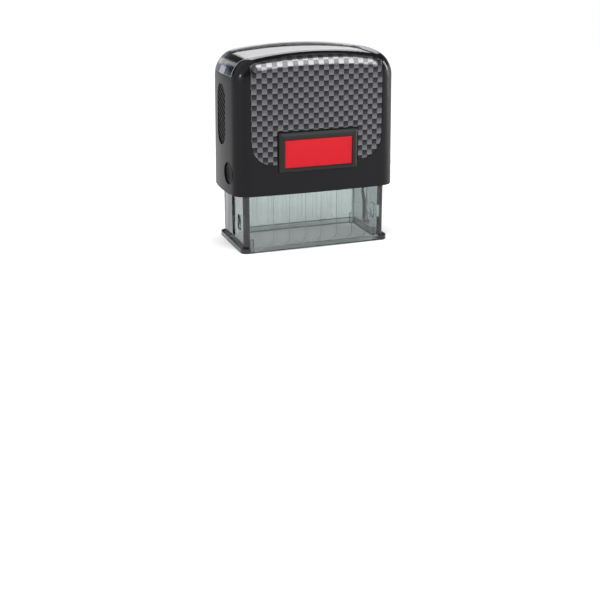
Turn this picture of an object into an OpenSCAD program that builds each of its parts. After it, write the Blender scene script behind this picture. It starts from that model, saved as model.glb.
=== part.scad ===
// Self-inking stamp: a press-down cap slides on a clear base and flips a rubber die from an ink pad to the paper.
// Millimetres. Origin at the middle of the foot on the table, +X to the right, +Y to the back, +Z up.

/* [Die and ink pad] */
// Length of the rubber die
die_l = 47; // [38:0.5:60]
// Depth of the rubber die, front to back
die_d = 18; // [17:0.5:22]
// Thickness of the rubber die
die_t = 1.2; // [0.8:0.1:1.4]
// Thickness of the foam cushion under the die
cushion_t = 0.6; // [0.4:0.1:0.8]
// Thickness of the carrier's plate
carrier_t = 1.6; // [1.2:0.1:1.8]
// How far the carrier's plate stands out past the die
carrier_lip = 0.25; // [0.1:0.05:0.4]
// Height of the die's face above the axle
die_reach = 5; // [4.8:0.1:6]
// Clearance between the swinging die and the pad
pad_clear = 0.15; // [0.1:0.05:0.6]
// Thickness of the ink pad
pad_t = 4.1; // [3:0.1:6]
// How far the pad stands out of its tray
pad_proud = 0.6; // [0.3:0.1:1]
// Wall of the ink tray
tray_wall = 1.4; // [1:0.1:1.8]
// Play of the ink tray in the base
tray_play = 0.2; // [0.1:0.05:0.3]

/* [Base] */
// Clearance between the turning die and the front and back walls
turn_gap = 1.5; // [1:0.1:3]
// Thickness of the two end walls
end_wall = 2.4; // [2.2:0.1:3.2]
// Thickness of the front and back walls
side_wall = 1.6; // [1.2:0.1:2.4]
// Thickness of the foot flange
foot_t = 1.8; // [1.2:0.1:2.4]
// How far the flange stands out past the base walls
foot_lip = 1.35; // [0.8:0.05:1.9]
// Corner radius of the base walls
base_r = 1.7; // [1:0.1:2.2]
// Thickness of the deck that closes the top of the base
deck_t = 1.6; // [1.2:0.1:2.4]
// Width of the ledges that the ink tray rests on
ledge_w = 1; // [0.6:0.1:1.6]
// Thickness of those ledges
ledge_t = 1; // [0.6:0.1:1.4]
// Clearance between the carrier's ends and the ledges
ledge_gap = 0.5; // [0.3:0.05:0.8]
// Width of one flute in the front and back walls
flute_w = 4.5; // [3:0.1:5.5]
// Spacing of the flutes
flute_pitch = 6.2; // [5.8:0.1:6.6]
// Depth of the flutes
flute_depth = 0.5; // [0.3:0.1:0.8]
// Height of the flutes' lower ends above the foot flange
flute_foot = 0.5; // [0.3:0.1:3]
// Number of flutes in one wall
flute_count = 7; // [3:2:7]
// Height of the small ribs inside the foot corners
rib_h = 4.4; // [3:0.1:5]
// Thickness of those ribs
rib_t = 1.2; // [0.8:0.1:1.4]

/* [Press] */
// Travel of the cap
stroke = 19.5; // [17:0.5:24]
// Gap left between the cap's rim and the foot flange at full travel
rim_gap = 0.2; // [0.1:0.05:0.6]
// Diameter of the die's axle pins
axle_d = 3; // [2.4:0.1:3.2]
// Radial running clearance of the axle pins in the yoke
axle_run = 0.05; // [0.02:0.01:0.1]
// Clearance beside the axle pins in the guide slots
slot_gap = 0.25; // [0.15:0.05:0.4]
// How far the axle pins go into the carrier
axle_seat = 4; // [3:0.5:8]
// Wall of the carrier's hubs round the axle pins
hub_wall = 1.2; // [0.8:0.1:1.4]
// Clearance between the hubs and the end walls
hub_gap = 0.25; // [0.15:0.05:0.4]
// Diameter of the cam pins
cam_d = 1.8; // [1.4:0.1:2.2]
// Clearance round the cam pins in their tracks
cam_gap = 0.2; // [0.15:0.05:0.3]
// Depth of the cam tracks in the end walls
cam_depth = 1.3; // [1:0.1:1.6]

/* [Yoke and spring] */
// Thickness of the yoke's arms
arm_t = 1.4; // [1.2:0.1:2]
// Clearance between an arm and the end wall
arm_gap = 0.2; // [0.15:0.05:0.3]
// Clearance between an arm and the cap's inside
arm_seat = 0.25; // [0.1:0.05:0.4]
// Half width of an arm where it carries the axle
arm_half = 2.6; // [2.4:0.1:2.8]
// Half width of the bridge and of the arms higher up
bridge_half = 7; // [5:0.5:9]
// Thickness of the yoke's bridge
bridge_t = 2; // [1.5:0.1:3]
// Room left between the bridge and the base's deck at full travel
bridge_gap = 2.7; // [2:0.1:4]
// Wall of the spring cup
cup_wall = 1.2; // [0.8:0.1:1.6]
// Mean radius of the spring
spring_r = 5.6; // [5:0.1:7]
// Thickness of the spring's wire
wire_d = 1; // [0.7:0.05:1.2]
// Number of coils in the spring
coils = 8; // [6:1:9]
// Length left in the pressed spring beyond its touching coils
spring_slack = 0.9; // [0.5:0.1:2]
// Gap between the spring and its cup, and between the spring and its post
spring_gap = 0.8; // [0.5:0.1:1]
// Height of the post that centres the spring
post_h = 3.4; // [2:0.1:4]

/* [Cap] */
// Wall of the cap at its rim
cap_wall = 1.8; // [1.8:0.1:2.6]
// Clearance between the base and the cap, front and back
slide_gap = 0.3; // [0.2:0.05:0.5]
// Radius of the cap's upright corners and top edges
cap_r = 6; // [5.4:0.1:6.6]
// Radius of the arched crown, side to side
arch_r = 190; // [140:5:300]
// Radius of the shoulders
shoulder_r = 9.5; // [8.6:0.1:10]
// How far each end of the cap leans in towards its shoulder
lean_x = 0.6; // [0.3:0.05:0.65]
// How far the front and back lean in towards the top
lean_y = 0.3; // [0.1:0.05:0.5]
// How far the front and back bow out at the middle
bow = 0.8; // [0.4:0.1:1.2]
// How far the two ends bow out at the middle
side_bow = 0.7; // [0.3:0.1:1]
// How far the crown is domed, front to back
roof_bow = 0.3; // [0.1:0.05:0.5]
// Thickness of the roof under the crown
roof_t = 3.4; // [3:0.1:4]
// Room between the spring cup and the roof
crown_gap = 2; // [1.5:0.1:6]
// Wall of the ring in the roof that stands on the yoke, round the spring cup
boss_t = 1.4; // [1:0.1:2]
// Clearance between that ring and the spring cup
boss_gap = 0.1; // [0.05:0.05:0.3]

/* [Trim] */
// Black border left beside the patterned panels
panel_margin = 6.3; // [5.5:0.1:10]
// Height of the panels' lower edge above the cap's rim
panel_foot = 11.1; // [9:0.1:14]
// Radius of the panels' lower corners
panel_r = 8; // [3:0.5:9]
// Thickness of the panels
panel_t = 0.6; // [0.4:0.1:0.8]
// Gap round the panels, window and labels
trim_gap = 0.12; // [0.05:0.01:0.2]
// Width of the label frames
label_w = 30.2; // [24:0.2:34]
// Height of the label frames
label_h = 14.3; // [12:0.1:18]
// Height of the label frames' lower edge above the cap's rim
label_foot = 8.2; // [6:0.1:12]
// How far the label frames stand out of the face
label_rise = 0.7; // [0.4:0.1:1.2]
// How deep the label frames are let into the face
label_seat = 1; // [0.8:0.1:1.3]
// Bevel round the label frames
label_bevel = 0.8; // [0.3:0.1:1.2]
// Border of the label frames beside the plate
label_side = 2.05; // [1.5:0.05:4]
// Border of the label frames below the plate
label_sill = 1.4; // [1.3:0.1:3]
// Border of the label frames above the plate
label_brow = 2.6; // [1.5:0.1:4]
// Thickness of the coloured label plates
plate_t = 1; // [0.5:0.1:1.2]
// How far the plates lie below the frames' fronts
plate_sink = 0.3; // [0.1:0.1:0.5]
// Gap in the panels round the label frames
label_gap = 0.5; // [0.1:0.05:0.8]
// Width of the clear index window on the crown, front to back
window_w = 24.4; // [20:0.2:25]
// Width of the window's tabs on the shoulders, front to back
tab_w = 19.6; // [14:0.2:20]
// Length over which the window narrows to its tabs
tab_flare = 3.5; // [2:0.1:4]
// Thickness of the index window
window_t = 1.2; // [0.8:0.1:1.4]
// How far the window's ends lie below the crown
window_drop = 8.8; // [7.5:0.1:9.8]
// Black edge left between the window and the panels
window_edge = 1.5; // [0.4:0.1:1.8]
// Thickness of the index card
card_t = 0.3; // [0.15:0.05:0.4]
// Air left between the index card and the window
card_gap = 0.5; // [0.3:0.1:1]
// Margin of the index card inside the window, front and back
card_margin = 1.3; // [0.8:0.1:3]
// How far the card reaches past the start of the shoulders
card_bend = 1.2; // [0.4:0.1:2]
// Play of the index card in its pocket
card_play = 0.2; // [0.1:0.05:0.4]

/* [Grips and locks] */
// Width of a side grip
grip_w = 9.6; // [6:0.1:12]
// Height of a side grip
grip_h = 22; // [14:0.5:24]
// Height of the grips' middles above the cap's rim
grip_mid = 27.8; // [26:0.1:29]
// Depth of the grip recesses
grip_depth = 1; // [0.8:0.05:1.1]
// How far a grip lies below the cap's side
grip_sink = 0.3; // [0.2:0.05:0.4]
// Thickness of a grip's backing
grip_t = 0.2; // [0.1:0.05:0.4]
// Radius of the grips' slanting ribs
grip_rib_r = 0.65; // [0.5:0.05:0.8]
// Spacing of the grips' ribs, straight across them
grip_pitch = 1.8; // [1.6:0.1:2.4]
// Slant of the grip ribs, in degrees from upright
grip_slant = 60; // [30:1:75]
// Diameter of a lock button
lock_d = 7.8; // [5:0.1:7.9]
// Clearance round a lock button
lock_gap = 0.1; // [0.05:0.01:0.2]
// Flange that keeps a lock button in the cap, past the button's side
lock_lip = 0.4; // [0.3:0.05:0.5]
// Thickness of that flange
lock_lip_t = 0.6; // [0.4:0.05:0.7]
// Clearance between a lock button and the yoke's arm
lock_side_gap = 0.3; // [0.2:0.05:0.4]
// Travel of a lock button
lock_travel = 1; // [0.7:0.05:1]
// How far a lock button lies below the cap's side
lock_sink = 0.3; // [0.3:0.1:1]
// Height of the lock buttons above the cap's rim
lock_z = 7.5; // [6.5:0.1:9]
// Diameter of a lock button's peg
peg_d = 3; // [2:0.1:3.4]
// Clearance round the peg in the base
peg_gap = 0.5; // [0.3:0.05:0.7]
// How far the cap rises from full travel before a lock catches it
lock_rise = 1.9; // [1.2:0.1:3]

/* [Hidden] */
$fn = 64;
eps = 0.01;
far = 200;

// Base, built outwards from the die
room_x = die_l / 2 + carrier_lip + ledge_gap + ledge_w;
room_y = norm([die_d / 2, die_reach]) + turn_gap;
base_w = 2 * (room_x + end_wall);
base_d = 2 * (room_y + side_wall);
foot_w = base_w + 2 * foot_lip;
foot_d = base_d + 2 * foot_lip;
foot_r = base_r + foot_lip / 2;

// Heights: the die meets the table at full travel, and lies just clear of the pad at rest
axle_r = axle_d / 2;
axle_z = stroke + die_reach;
swing_lift = max([for (s = [0 : stroke / 40 : stroke / 2])
  die_reach * (cos(180 * s / stroke) - 1) + die_d / 2 * sin(180 * s / stroke) - s]);
pad_face_z = axle_z + die_reach + swing_lift + pad_clear;
tray_z = pad_face_z + pad_proud;
tray_top = pad_face_z + pad_t + tray_wall;
deck_z = tray_top + tray_play / 2;
deck_top = deck_z + deck_t;
cam_reach = axle_r + hub_wall + cam_d / 2 + cam_gap;

// Yoke and spring
arm_in = base_w / 2 + arm_gap;
arm_out = arm_in + arm_t;
eye_r = arm_half + arm_gap;
bridge_z = deck_top + stroke + bridge_gap;
spring_top = deck_top + stroke + coils * wire_d + spring_slack;
cup_top = spring_top + cup_wall;
cup_in_r = spring_r + wire_d / 2 + spring_gap;
cup_out_r = cup_in_r + cup_wall;
post_r = spring_r - wire_d / 2 - spring_gap;

// Cap: rim, inside and outside
cap_z = foot_t + rim_gap + stroke;
cap_top = cup_top + crown_gap + roof_t;
inner_x = arm_out + arm_seat;
inner_y = base_d / 2 + slide_gap;
inner_r = base_r + slide_gap;
inner_top = bridge_z + bridge_t;
cap_w = 2 * (inner_x + cap_wall);
cap_d = 2 * (inner_y + cap_wall);
corner_x = cap_w / 2 - cap_r;
corner_y = cap_d / 2 - cap_r;
face_y = cap_d / 2 + bow;
side_x = cap_w / 2;

// Crown: one arc over the top, meeting the shoulder arcs on a common tangent
shoulder_x = side_x - lean_x - shoulder_r;
shoulder_z = cap_top - arch_r + sqrt(pow(arch_r - shoulder_r, 2) - pow(shoulder_x, 2));
arch_a = asin(shoulder_x / (arch_r - shoulder_r));
arch_steps = 4;
shoulder_steps = 3;
round_steps = 16;
crown = [
  for (i = [0 : shoulder_steps]) let (a = -90 + (90 - arch_a) * i / shoulder_steps)
    [-shoulder_x + (shoulder_r - cap_r) * sin(a), shoulder_z + (shoulder_r - cap_r) * cos(a), a],
  for (i = [1 : arch_steps - 1]) let (a = arch_a * (2 * i / arch_steps - 1))
    [(arch_r - cap_r) * sin(a), cap_top - arch_r + (arch_r - cap_r) * cos(a), a],
  for (i = [0 : shoulder_steps]) let (a = arch_a + (90 - arch_a) * i / shoulder_steps)
    [shoulder_x + (shoulder_r - cap_r) * sin(a), shoulder_z + (shoulder_r - cap_r) * cos(a), a]
];
lean_per_mm = lean_x / (shoulder_z - cap_z);

// Lock buttons and grips, on the leaning sides of the cap
lock_lip_r = lock_d / 2 + lock_lip;
lock_y = -(arm_half + lock_side_gap + lock_lip_r);
lock_mid_z = cap_z + lock_z;
lock_face_x = side_x + side_bow * (1 - pow(lock_y / corner_y, 2)) - lean_per_mm * lock_z - lock_sink;
peg_r = peg_d / 2;
grip_z = cap_z + grip_mid;
grip_x = side_x + side_bow - lean_per_mm * grip_mid - grip_depth;

// Labels and trim
label_z = cap_z + label_foot;
label_back_y = face_y - label_seat;
label_front_y = face_y + label_rise;
plate_w = label_w - 2 * label_side;
plate_h = label_h - label_sill - label_brow;
plate_mid_z = label_z + label_sill + plate_h / 2;
plate_back_y = label_front_y - plate_sink - plate_t;
panel_w = cap_w - 2 * panel_margin;
panel_edge = window_w / 2 + window_edge;
window_z = cap_top - window_drop;
flare_x = shoulder_x + shoulder_r * 0.3;
card_x = shoulder_x + card_bend;
card_y = window_w / 2 - card_margin;
card_in = window_t + card_gap;

// Points along the wire of the spring, and the gap between neighbouring coils
spring_steps = 8;
spring_len = spring_top - deck_top - wire_d;
function wire_at(t) = [
  spring_r * cos(360 * t),
  spring_r * sin(360 * t),
  deck_top + wire_d / 2 + spring_len * t / coils
];
wire_points = [for (i = [0 : spring_steps * coils]) wire_at(i / spring_steps)];
coil_gap = min([for (i = [0 : len(wire_points) - 1 - spring_steps])
  for (j = [i + spring_steps / 2 : min(i + 2 * spring_steps, len(wire_points) - 1)])
    norm(wire_points[j] - wire_points[i])]) - wire_d;
echo(least_spring_gap_mm = coil_gap);
echo(axle_z = axle_z, deck_top = deck_top, cap_z = cap_z, cap_top = cap_top, bridge_z = bridge_z);

// Place of a cam pin, seen along the axle, when the cap has gone down by s
function cam_at(s) = let (a = 180 * s / stroke)
  [cam_reach * cos(a), axle_z - s - cam_reach * sin(a)];

// A flat rounded rectangle with true round corners
module round_rect(w, d, r) {
  square([w - 2 * r, d], center = true);
  square([w, d - 2 * r], center = true);
  for (sx = [-1, 1])
    for (sy = [-1, 1])
      translate([sx * (w / 2 - r), sy * (d / 2 - r)])
        circle(r);
}

// A flat slot with round ends, standing up
module round_slot(w, h) {
  square([w, h - w], center = true);
  for (s = [-1, 1])
    translate([0, s * (h - w) / 2])
      circle(w / 2);
}

// Turns a flat shape so that it faces the side at +X, with its own up along Z
module on_side(x, depth) {
  translate([x, 0, 0])
    rotate([90, 0, 90])
      linear_extrude(depth)
        children();
}

// Turns a flat shape so that it faces the front, with its own up along Z
module on_front(y, depth) {
  translate([0, -y, 0])
    rotate([90, 0, 0])
      linear_extrude(depth)
        children();
}

// Both ends of the object
module both_ends() {
  children();
  mirror([1, 0, 0])
    children();
}

// Both faces: the front and the back, turned round
module both_faces() {
  children();
  rotate([0, 0, 180])
    children();
}

// The cap's outer form, moved in by a distance all over: every face bows out a little
module cap_form(inset) {
  r = cap_r - inset;
  hull() {
    for (u = [-1 : 0.5 : 1])
      for (s = [-1, 1])
        translate([u * corner_x, s * (corner_y + bow * (1 - u * u)), cap_z])
          cylinder(r = r, h = eps, $fn = round_steps);
    for (v = [-0.5 : 0.5 : 0.5])
      for (s = [-1, 1])
        translate([s * (corner_x + side_bow * (1 - v * v)), v * corner_y, cap_z])
          cylinder(r = r, h = eps, $fn = round_steps);
    for (p = crown)
      for (v = [-1 : 0.5 : 1])
        translate([
          p.x + side_bow * (1 - v * v) * sin(p.z),
          v * (corner_y - lean_y + bow * (1 - pow(p.x / corner_x, 2))),
          p.y + roof_bow * (1 - v * v) * cos(p.z)
        ])
          sphere(r / cos(180 / round_steps), $fn = round_steps);
  }
}

// Curved track of a cam pin: its path widened to both sides, and run past both ends
module cam_track() {
  half = cam_d / 2 + cam_gap;
  steps = 24;
  path = [for (i = [0 : steps]) cam_at(stroke * i / steps)];
  slant = max([for (i = [1 : steps]) let (d = path[i] - path[i - 1]) norm(d) / abs(d.y)]);
  line = concat([path[0] + [0, half]], path, [path[steps] - [0, half]]);
  polygon([
    for (p = line) p + [half * slant, 0],
    for (i = [len(line) - 1 : -1 : 0]) line[i] - [half * slant, 0]
  ]);
}

module base_frame() {
  slot_w = axle_d + 2 * slot_gap;
  slot_low = die_reach - axle_r - slot_gap;
  slot_high = axle_z + axle_r + axle_run;
  catch_low = lock_mid_z - stroke - peg_r - peg_gap;
  catch_high = lock_mid_z - stroke + peg_r + lock_rise;
  flute_low = foot_t + flute_foot;
  flute_h = tray_z - ledge_t - flute_low;
  color([0.62, 0.68, 0.65, 0.5])
    difference() {
      union() {
        linear_extrude(foot_t)
          round_rect(foot_w, foot_d, foot_r);
        linear_extrude(deck_top)
          round_rect(base_w, base_d, base_r);
        translate([0, 0, deck_top - eps])
          cylinder(r = post_r, h = post_h);
      }
      difference() {
        translate([0, 0, -eps])
          linear_extrude(deck_z + eps)
            square([2 * room_x, 2 * room_y], center = true);
        for (sx = [-1, 1])
          translate([sx * (room_x - ledge_w / 2), 0, tray_z - ledge_t / 2])
            cube([ledge_w + eps, 2 * room_y + eps, ledge_t], center = true);
        for (sx = [-1, 1])
          for (sy = [-1, 1])
            translate([sx * (room_x - rib_t * 3 / 4), sy * (room_y - rib_t / 2), rib_h / 2])
              cube([rib_t, rib_t + eps, rib_h], center = true);
      }
      translate([-room_x, 0, tray_z])
        cube([2 * room_x, base_d, deck_z - tray_z]);
      both_ends()
        on_side(room_x - eps, end_wall + foot_lip)
          translate([0, (slot_low + slot_high) / 2])
            round_slot(slot_w, slot_high - slot_low);
      both_ends()
        on_side(room_x - eps, cam_depth)
          cam_track();
      both_ends()
        translate([room_x - eps, lock_y - peg_r - peg_gap, catch_low])
          cube([end_wall + 2 * eps, peg_d + 2 * peg_gap, catch_high - catch_low]);
      both_ends()
        translate([base_w / 2 - lock_travel, lock_y, lock_mid_z])
          rotate([0, 90, 0])
            cylinder(r = peg_r + peg_gap, h = far);
      both_faces()
        for (i = [0 : flute_count - 1])
          translate([(i - (flute_count - 1) / 2) * flute_pitch, 0, 0])
            on_front(base_d / 2 - flute_depth, far)
              translate([0, flute_low + flute_h / 2])
                round_slot(flute_w, flute_h);
    }
}

module ink_pad_tray() {
  color([0.1, 0.1, 0.11])
    difference() {
      translate([0, 0, tray_z])
        linear_extrude(tray_top - tray_z)
          square(2 * [room_x - tray_play, room_y - tray_play], center = true);
      translate([0, 0, tray_z - eps])
        linear_extrude(tray_top - tray_wall - tray_z + eps)
          square(2 * [room_x - ledge_w - tray_wall / 2, room_y - tray_play - tray_wall], center = true);
    }
}

module ink_pad() {
  color([0.07, 0.07, 0.1])
    translate([0, 0, pad_face_z])
      linear_extrude(pad_t)
        square(2 * [
          room_x - ledge_w - tray_wall / 2 - tray_play,
          room_y - 2 * tray_play - tray_wall
        ], center = true);
}

// Outline of a panel on the front, grown by a gap
module panel_outline(gap) {
  foot = cap_z + panel_foot - gap;
  half = panel_w / 2 + gap;
  translate([-half, foot + panel_r])
    square([2 * half, far]);
  translate([-half + panel_r, foot])
    square([2 * (half - panel_r), far]);
  for (s = [-1, 1])
    translate([s * (half - panel_r), foot + panel_r])
      circle(panel_r);
}

// Outline of a label frame on the front, grown by a gap
module label_outline(gap) {
  translate([-label_w / 2 - gap, label_z - gap])
    square([label_w + 2 * gap, label_h + 2 * gap]);
}

// The strip that the index window covers, grown by a gap
module window_zone(gap) {
  wide = window_w / 2 + gap;
  tab = tab_w / 2 + gap;
  translate([0, 0, window_z - gap])
    linear_extrude(far)
      both_faces()
        polygon([
          [-far, -tab], [-flare_x - tab_flare, -tab], [-flare_x, -wide],
          [flare_x, -wide], [flare_x + tab_flare, -tab], [far, -tab],
          [far, eps], [-far, eps]
        ]);
}

// The block that the index card is cut from, grown by a gap
module card_zone(gap) {
  translate([-card_x - gap, -card_y - gap, cap_z])
    cube([2 * (card_x + gap), 2 * (card_y + gap), far]);
}

module cap_shell() {
  color([0.13, 0.13, 0.14])
    difference() {
      cap_form(0);
      translate([0, 0, cap_z - eps])
        linear_extrude(inner_top - cap_z + eps)
          round_rect(2 * inner_x, 2 * inner_y, inner_r);
      difference() {
        cap_form(roof_t);
        translate([0, 0, inner_top])
          difference() {
            cylinder(r = cup_out_r + boss_gap + boss_t, h = far);
            translate([0, 0, -eps])
              cylinder(r = cup_out_r + boss_gap, h = far);
          }
      }
      difference() {
        both_faces()
          on_front(panel_edge - trim_gap, far)
            panel_outline(trim_gap);
        cap_form(panel_t);
      }
      difference() {
        window_zone(trim_gap);
        cap_form(window_t);
      }
      difference() {
        card_zone(card_play);
        cap_form(card_in + card_t);
      }
      both_faces()
        on_front(label_back_y, far)
          label_outline(trim_gap);
      both_ends()
        on_side(grip_x, far)
          translate([0, grip_z])
            round_slot(grip_w, grip_h);
      both_ends()
        translate([inner_x - 2 * eps, lock_y, lock_mid_z])
          rotate([0, 90, 0])
            cylinder(r = lock_d / 2 + lock_gap, h = far);
    }
}

// Outline of one yoke arm: an eye for the axle at its foot, wider above the lock button
module arm_outline() {
  wide_z = lock_mid_z + lock_lip_r + bridge_t;
  difference() {
    union() {
      translate([0, axle_z])
        circle(eye_r);
      translate([-arm_half, axle_z])
        square([2 * arm_half, bridge_z - axle_z]);
      translate([-bridge_half, wide_z])
        square([2 * bridge_half, bridge_z - wide_z + eps]);
    }
    translate([-far / 2, cap_z - far])
      square(far);
  }
}

module yoke() {
  color([0.17, 0.17, 0.18])
    difference() {
      union() {
        translate([-arm_out, -bridge_half, bridge_z])
          cube([2 * arm_out, 2 * bridge_half, bridge_t]);
        translate([0, 0, bridge_z])
          cylinder(r = cup_out_r, h = cup_top - bridge_z);
        both_ends()
          on_side(arm_in, arm_t)
            arm_outline();
      }
      translate([0, 0, bridge_z - eps])
        cylinder(r = cup_in_r, h = spring_top - bridge_z + eps);
      translate([-far / 2, 0, axle_z])
        rotate([0, 90, 0])
          cylinder(r = axle_r + axle_run, h = far);
    }
}

module main_spring() {
  sides = 6;
  last = spring_steps * coils;
  ring = [for (i = [0 : last]) for (k = [0 : sides - 1])
    let (
      turn = 360 * i / spring_steps,
      a = 360 * (k + 0.5) / sides,
      out = [cos(turn), sin(turn), 0]
    )
      wire_points[i] + wire_d / 2 * (cos(a) * out + sin(a) * [0, 0, 1])];
  skin = [for (i = [0 : last - 1]) for (k = [0 : sides - 1])
    let (
      a = i * sides + k,
      b = i * sides + (k + 1) % sides
    )
      each [[a, a + sides, b], [b, a + sides, b + sides]]];
  caps = [for (k = [1 : sides - 2])
    each [[0, k, k + 1], [last * sides, last * sides + k + 1, last * sides + k]]];
  color([0.75, 0.76, 0.78])
    polyhedron(ring, concat(skin, caps));
}

module front_panel() {
  color([0.3, 0.3, 0.31])
    difference() {
      intersection() {
        cap_form(0);
        on_front(panel_edge, far)
          panel_outline(0);
      }
      cap_form(panel_t);
      on_front(panel_edge, far)
        label_outline(label_gap);
    }
}

module rear_panel() {
  rotate([0, 0, 180])
    front_panel();
}

module front_label_frame() {
  color([0.2, 0.2, 0.2])
    difference() {
      hull() {
        on_front(label_back_y, label_seat)
          label_outline(0);
        on_front(label_back_y, label_front_y - label_back_y)
          label_outline(-label_bevel);
      }
      on_front(plate_back_y, far)
        translate([0, plate_mid_z])
          square([plate_w, plate_h], center = true);
    }
}

module rear_label_frame() {
  rotate([0, 0, 180])
    front_label_frame();
}

module front_label_plate() {
  color([0.87, 0.13, 0.19])
    on_front(plate_back_y, plate_t)
      translate([0, plate_mid_z])
        square([plate_w - 2 * eps, plate_h - 2 * eps], center = true);
}

module rear_label_plate() {
  rotate([0, 0, 180])
    front_label_plate();
}

module index_window() {
  color([0.8, 0.85, 0.88, 0.4])
    difference() {
      intersection() {
        cap_form(0);
        window_zone(0);
      }
      cap_form(window_t);
    }
}

module index_card() {
  color([0.95, 0.95, 0.93])
    difference() {
      intersection() {
        cap_form(card_in);
        card_zone(0);
      }
      cap_form(card_in + card_t);
    }
}

module side_grip_right() {
  count = ceil((grip_h + grip_w) / grip_pitch / 2);
  color([0.1, 0.1, 0.1])
    intersection() {
      on_side(grip_x, grip_depth - grip_sink)
        translate([0, grip_z])
          round_slot(grip_w - 2 * eps, grip_h - 2 * eps);
      union() {
        on_side(grip_x, grip_t)
          translate([0, grip_z])
            round_slot(grip_w, grip_h);
        for (i = [-count : count])
          translate([grip_x + grip_t, 0, grip_z])
            rotate([grip_slant, 0, 0])
              translate([0, i * grip_pitch, 0])
                cylinder(r = grip_rib_r, h = far, center = true);
      }
    }
}

module side_grip_left() {
  rotate([0, 0, 180])
    side_grip_right();
}

module lock_button_right() {
  flange_x = inner_x - 5 * eps - lock_lip_t;
  color([0.12, 0.12, 0.13])
    translate([0, lock_y, lock_mid_z])
      rotate([0, 90, 0]) {
        translate([0, 0, flange_x])
          cylinder(d = lock_d, h = lock_face_x - flange_x);
        translate([0, 0, flange_x])
          cylinder(r = lock_lip_r, h = lock_lip_t);
        translate([0, 0, arm_in])
          cylinder(r = peg_r, h = flange_x - arm_in + eps);
      }
}

module lock_button_left() {
  mirror([1, 0, 0])
    lock_button_right();
}

module die_carrier() {
  plate_z = axle_z + die_reach - die_t - cushion_t - carrier_t;
  half = die_l / 2 + carrier_lip;
  cheek_t = 2;
  cheek_r = cam_reach + cam_d / 2 + hub_wall / 2;
  hub_r = axle_r + hub_wall;
  spine_t = 2.4;
  color([0.22, 0.22, 0.23])
    difference() {
      union() {
        translate([-half, -die_d / 2 - carrier_lip, plate_z])
          cube([2 * half, die_d + 2 * carrier_lip, carrier_t]);
        translate([-half, -spine_t / 2, axle_z - axle_r])
          cube([2 * half, spine_t, plate_z - axle_z + axle_r + eps]);
        both_ends() {
          translate([half - cheek_t, 0, axle_z])
            intersection() {
              rotate([0, 90, 0])
                cylinder(r = cheek_r, h = cheek_t);
              translate([0, -cheek_r, -cheek_r])
                cube([cheek_t, 2 * cheek_r, cheek_r + plate_z - axle_z + eps]);
            }
          translate([half - axle_seat, 0, axle_z])
            rotate([0, 90, 0])
              cylinder(r = hub_r, h = room_x - hub_gap - half + axle_seat);
          translate([half - eps, cam_reach, axle_z])
            rotate([0, 90, 0])
              cylinder(d = cam_d, h = room_x + cam_depth - cam_gap - half);
        }
      }
      both_ends()
        translate([half - axle_seat, 0, axle_z])
          rotate([0, 90, 0])
            cylinder(r = axle_r, h = far);
    }
}

module die_cushion() {
  color([0.35, 0.36, 0.4])
    translate([-die_l / 2, -die_d / 2, axle_z + die_reach - die_t - cushion_t])
      cube([die_l, die_d, cushion_t]);
}

module rubber_die() {
  relief = die_t / 2;
  border = 1;
  color([0.55, 0.18, 0.16])
    difference() {
      translate([-die_l / 2, -die_d / 2, axle_z + die_reach - die_t])
        cube([die_l, die_d, die_t]);
      translate([-die_l / 2 + border, -die_d / 2 + border, axle_z + die_reach - relief])
        cube([die_l - 2 * border, die_d - 2 * border, die_t]);
    }
}

module axle_pin_right() {
  start = die_l / 2 + carrier_lip - axle_seat;
  color([0.8, 0.8, 0.82])
    translate([start, 0, axle_z])
      rotate([0, 90, 0])
        cylinder(r = axle_r, h = arm_out - axle_run - start);
}

module axle_pin_left() {
  mirror([1, 0, 0])
    axle_pin_right();
}

base_frame();
ink_pad_tray();
ink_pad();
cap_shell();
yoke();
main_spring();
front_panel();
rear_panel();
front_label_frame();
rear_label_frame();
front_label_plate();
rear_label_plate();
index_window();
index_card();
side_grip_left();
side_grip_right();
lock_button_left();
lock_button_right();
die_carrier();
die_cushion();
rubber_die();
axle_pin_left();
axle_pin_right();
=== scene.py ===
import bmesh
import bpy
import numpy as np
from mathutils import Matrix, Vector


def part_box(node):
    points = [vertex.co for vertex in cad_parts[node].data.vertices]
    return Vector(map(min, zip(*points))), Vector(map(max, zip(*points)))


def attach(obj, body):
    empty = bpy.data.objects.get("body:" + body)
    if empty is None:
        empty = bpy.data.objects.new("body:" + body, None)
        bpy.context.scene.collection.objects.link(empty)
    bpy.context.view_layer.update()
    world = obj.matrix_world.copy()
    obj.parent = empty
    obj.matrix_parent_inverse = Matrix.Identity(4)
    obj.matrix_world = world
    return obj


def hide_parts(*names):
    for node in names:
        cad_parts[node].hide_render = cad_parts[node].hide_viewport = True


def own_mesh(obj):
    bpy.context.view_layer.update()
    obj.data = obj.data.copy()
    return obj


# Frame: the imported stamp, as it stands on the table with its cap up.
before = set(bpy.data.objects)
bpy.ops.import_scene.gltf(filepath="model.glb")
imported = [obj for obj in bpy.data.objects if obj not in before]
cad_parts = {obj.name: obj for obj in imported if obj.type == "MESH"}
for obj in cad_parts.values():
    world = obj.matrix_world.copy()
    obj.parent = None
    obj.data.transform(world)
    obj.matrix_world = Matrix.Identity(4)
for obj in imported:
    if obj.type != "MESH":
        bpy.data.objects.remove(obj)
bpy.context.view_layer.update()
bpy.context.scene.view_settings.view_transform = "Standard"


# Viewpoint: a little over 0.4 m from the stamp, to its front left and above it.
# The lens is a mild telephoto, so the upright edges stay nearly parallel.
def put(name, data):
    """Adds an object that holds this data to the scene."""
    made = bpy.data.objects.new(name, data)
    bpy.context.scene.collection.objects.link(made)
    return made


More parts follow.
